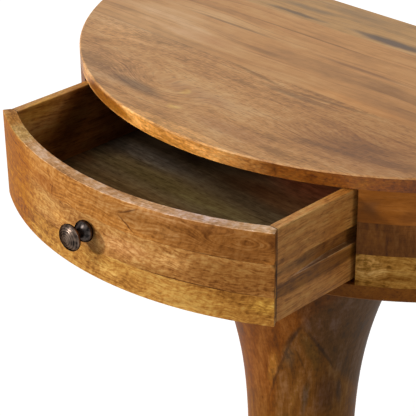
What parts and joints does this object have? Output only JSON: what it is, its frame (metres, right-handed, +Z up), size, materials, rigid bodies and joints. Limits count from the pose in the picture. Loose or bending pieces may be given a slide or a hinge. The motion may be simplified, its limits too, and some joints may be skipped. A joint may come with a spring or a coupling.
{
  "type": "demilune table",
  "caption": "Half-round wooden side table: flat back, curved apron, bow-front drawer with a round metal knob, on one turned trumpet pedestal.",
  "frame": {"origin": "on the floor under the middle of the round foot, on the pedestal's axis", "axes": "+Z up, +X along the straight back edge, the drawer opens towards -Y and the flat back faces +Y"},
  "size_m": [0.8, 0.575, 0.76],
  "materials": {
    "top_wood": "satin lacquer",
    "floor_wood": "satin lacquer",
    "red_course": "satin lacquer",
    "dark_course": "satin lacquer",
    "pale_course": "satin lacquer",
    "front_wood": "satin lacquer",
    "box_wood": "satin lacquer",
    "pedestal_wood": "satin lacquer",
    "bronze": "dark antique patina",
    "screw_steel": "zinc plated",
    "felt": "pressed felt"
  },
  "bodies": {
    "table": {"top_board_1": "top_wood", "top_board_2": "top_wood", "top_board_3": "top_wood", "top_board_4": "top_wood", "top_board_5": "top_wood", "floor_board_1": "floor_wood", "floor_board_2": "floor_wood", "floor_board_3": "floor_wood", "floor_board_4": "floor_wood", "floor_board_5": "floor_wood", "apron_left_upper": "red_course", "apron_left_middle": "dark_course", "apron_left_lower": "pale_course", "apron_right_upper": "red_course", "apron_right_middle": "dark_course", "apron_right_lower": "pale_course", "back_panel": "floor_wood", "guide_left": "box_wood", "guide_right": "box_wood", "runner_left": "box_wood", "runner_right": "box_wood", "runner_screws": "screw_steel", "pedestal": "pedestal_wood", "pedestal_screws": "screw_steel", "foot_felt": "felt"},
    "drawer": {"drawer_front_upper": "front_wood", "drawer_front_middle": "front_wood", "drawer_front_lower": "front_wood", "drawer_side_left": "box_wood", "drawer_side_right": "box_wood", "drawer_back": "box_wood", "drawer_bottom": "box_wood", "knob": "bronze", "knob_base": "bronze", "knob_screw": "screw_steel", "knob_washer": "screw_steel"}
  },
  "joints": [
    {"name": "drawer_slide", "type": "slide", "parent": "table", "child": "drawer", "axis": [0, -1, 0], "range_m": [-0.122, 0.08]}
  ]
}
